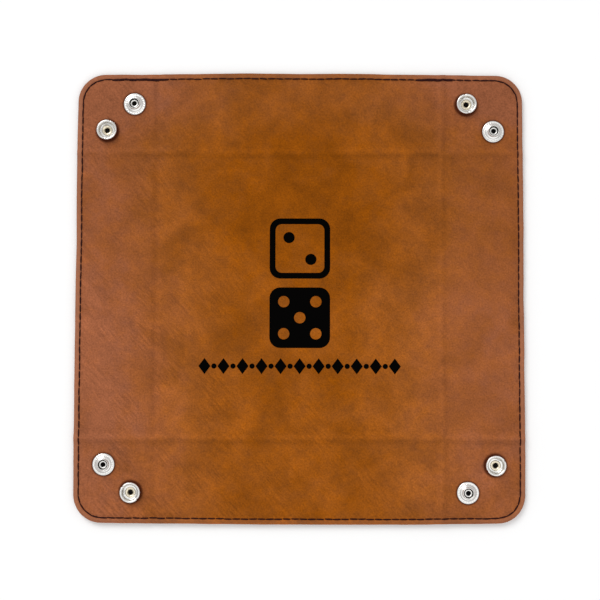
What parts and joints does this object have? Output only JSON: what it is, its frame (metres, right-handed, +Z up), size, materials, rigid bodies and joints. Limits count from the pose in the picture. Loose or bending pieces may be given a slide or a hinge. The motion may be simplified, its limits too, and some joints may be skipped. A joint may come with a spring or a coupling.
{
  "type": "snap-up dice tray",
  "caption": "Flat square leatherette tray with stiff panels; its flaps fold up and snap fasteners close the pinched corners to make a low open box for rolling dice.",
  "frame": {"origin": "centre of the open tray, on the surface that it lies on", "axes": "+Z up, out of the lining; +Y towards the back flap; +X towards the right flap"},
  "size_m": [0.2286, 0.2286, 0.0064],
  "materials": {
    "lining_leather": "mottled tan leatherette, satin, fine grain",
    "backing_leather": "plain tan leatherette, satin, fine grain",
    "stiffening_board": "grey-brown pulp board",
    "thread": "black waxed thread",
    "nickel": "bright nickel plate",
    "brass": "bright brass, lightly tarnished"
  },
  "bodies": {
    "base": {"base_lining": "lining_leather", "base_board": "stiffening_board", "base_backing": "backing_leather"},
    "flap_back": {"flap_back_lining": "lining_leather", "flap_back_board": "stiffening_board", "flap_back_backing": "backing_leather", "flap_back_stitching": "thread"},
    "corner_back_right_socket_half": {"back_right_socket_leaf_lining": "lining_leather", "back_right_socket_leaf_backing": "backing_leather", "back_right_socket_leaf_stitching": "thread", "back_right_cap": "nickel", "back_right_socket": "nickel"},
    "corner_back_right_stud_half": {"back_right_stud_leaf_lining": "lining_leather", "back_right_stud_leaf_backing": "backing_leather", "back_right_stud_leaf_stitching": "thread", "back_right_eyelet": "brass", "back_right_stud": "nickel"},
    "flap_right": {"flap_right_lining": "lining_leather", "flap_right_board": "stiffening_board", "flap_right_backing": "backing_leather", "flap_right_stitching": "thread"},
    "corner_front_right_socket_half": {"front_right_socket_leaf_lining": "lining_leather", "front_right_socket_leaf_backing": "backing_leather", "front_right_socket_leaf_stitching": "thread", "front_right_cap": "nickel", "front_right_socket": "nickel"},
    "corner_front_right_stud_half": {"front_right_stud_leaf_lining": "lining_leather", "front_right_stud_leaf_backing": "backing_leather", "front_right_stud_leaf_stitching": "thread", "front_right_eyelet": "brass", "front_right_stud": "nickel"},
    "flap_front": {"flap_front_lining": "lining_leather", "flap_front_board": "stiffening_board", "flap_front_backing": "backing_leather", "flap_front_stitching": "thread"},
    "corner_front_left_socket_half": {"front_left_socket_leaf_lining": "lining_leather", "front_left_socket_leaf_backing": "backing_leather", "front_left_socket_leaf_stitching": "thread", "front_left_cap": "nickel", "front_left_socket": "nickel"},
    "corner_front_left_stud_half": {"front_left_stud_leaf_lining": "lining_leather", "front_left_stud_leaf_backing": "backing_leather", "front_left_stud_leaf_stitching": "thread", "front_left_eyelet": "brass", "front_left_stud": "nickel"},
    "flap_left": {"flap_left_lining": "lining_leather", "flap_left_board": "stiffening_board", "flap_left_backing": "backing_leather", "flap_left_stitching": "thread"},
    "corner_back_left_socket_half": {"back_left_socket_leaf_lining": "lining_leather", "back_left_socket_leaf_backing": "backing_leather", "back_left_socket_leaf_stitching": "thread", "back_left_cap": "nickel", "back_left_socket": "nickel"},
    "corner_back_left_stud_half": {"back_left_stud_leaf_lining": "lining_leather", "back_left_stud_leaf_backing": "backing_leather", "back_left_stud_leaf_stitching": "thread", "back_left_eyelet": "brass", "back_left_stud": "nickel"}
  },
  "joints": [
    {"name": "fold_back", "type": "hinge", "parent": "base", "child": "flap_back", "pos_m": [0, 0.073, 0.0034], "axis": [1, 0, 0], "range_deg": [0, 90]},
    {"name": "pinch_back_right", "type": "hinge", "parent": "flap_back", "child": "corner_back_right_socket_half", "pos_m": [0.06971, 0.073, 0.0011], "axis": [0, 1, 0], "range_deg": [0, 45]},
    {"name": "close_back_right", "type": "hinge", "parent": "corner_back_right_socket_half", "child": "corner_back_right_stud_half", "pos_m": [0.073, 0.073, 0.00505], "axis": [-0.7071, -0.7071, 0], "range_deg": [0, 180]},
    {"name": "fold_right", "type": "hinge", "parent": "base", "child": "flap_right", "pos_m": [0.073, 0, 0.0034], "axis": [0, -1, 0], "range_deg": [0, 90]},
    {"name": "pinch_front_right", "type": "hinge", "parent": "flap_right", "child": "corner_front_right_socket_half", "pos_m": [0.073, -0.06971, 0.0011], "axis": [1, 0, 0], "range_deg": [0, 45]},
    {"name": "close_front_right", "type": "hinge", "parent": "corner_front_right_socket_half", "child": "corner_front_right_stud_half", "pos_m": [0.073, -0.073, 0.00505], "axis": [-0.7071, 0.7071, 0], "range_deg": [0, 180]},
    {"name": "fold_front", "type": "hinge", "parent": "base", "child": "flap_front", "pos_m": [0, -0.073, 0.0034], "axis": [-1, 0, 0], "range_deg": [0, 90]},
    {"name": "pinch_front_left", "type": "hinge", "parent": "flap_front", "child": "corner_front_left_socket_half", "pos_m": [-0.06971, -0.073, 0.0011], "axis": [0, -1, 0], "range_deg": [0, 45]},
    {"name": "close_front_left", "type": "hinge", "parent": "corner_front_left_socket_half", "child": "corner_front_left_stud_half", "pos_m": [-0.073, -0.073, 0.00505], "axis": [0.7071, 0.7071, 0], "range_deg": [0, 180]},
    {"name": "fold_left", "type": "hinge", "parent": "base", "child": "flap_left", "pos_m": [-0.073, 0, 0.0034], "axis": [0, 1, 0], "range_deg": [0, 90]},
    {"name": "pinch_back_left", "type": "hinge", "parent": "flap_left", "child": "corner_back_left_socket_half", "pos_m": [-0.073, 0.06971, 0.0011], "axis": [-1, 0, 0], "range_deg": [0, 45]},
    {"name": "close_back_left", "type": "hinge", "parent": "corner_back_left_socket_half", "child": "corner_back_left_stud_half", "pos_m": [-0.073, 0.073, 0.00505], "axis": [0.7071, -0.7071, 0], "range_deg": [0, 180]}
  ],
  "couplings": [
    {"joint": "pinch_back_right", "follows": "fold_back", "ratio": 0.5},
    {"joint": "close_back_right", "follows": "fold_back", "ratio": 1.99},
    {"joint": "fold_right", "follows": "fold_back", "ratio": 1},
    {"joint": "pinch_front_right", "follows": "fold_back", "ratio": 0.5},
    {"joint": "close_front_right", "follows": "fold_back", "ratio": 1.99},
    {"joint": "fold_front", "follows": "fold_back", "ratio": 1},
    {"joint": "pinch_front_left", "follows": "fold_back", "ratio": 0.5},
    {"joint": "close_front_left", "follows": "fold_back", "ratio": 1.99},
    {"joint": "fold_left", "follows": "fold_back", "ratio": 1},
    {"joint": "pinch_back_left", "follows": "fold_back", "ratio": 0.5},
    {"joint": "close_back_left", "follows": "fold_back", "ratio": 1.99}
  ]
}
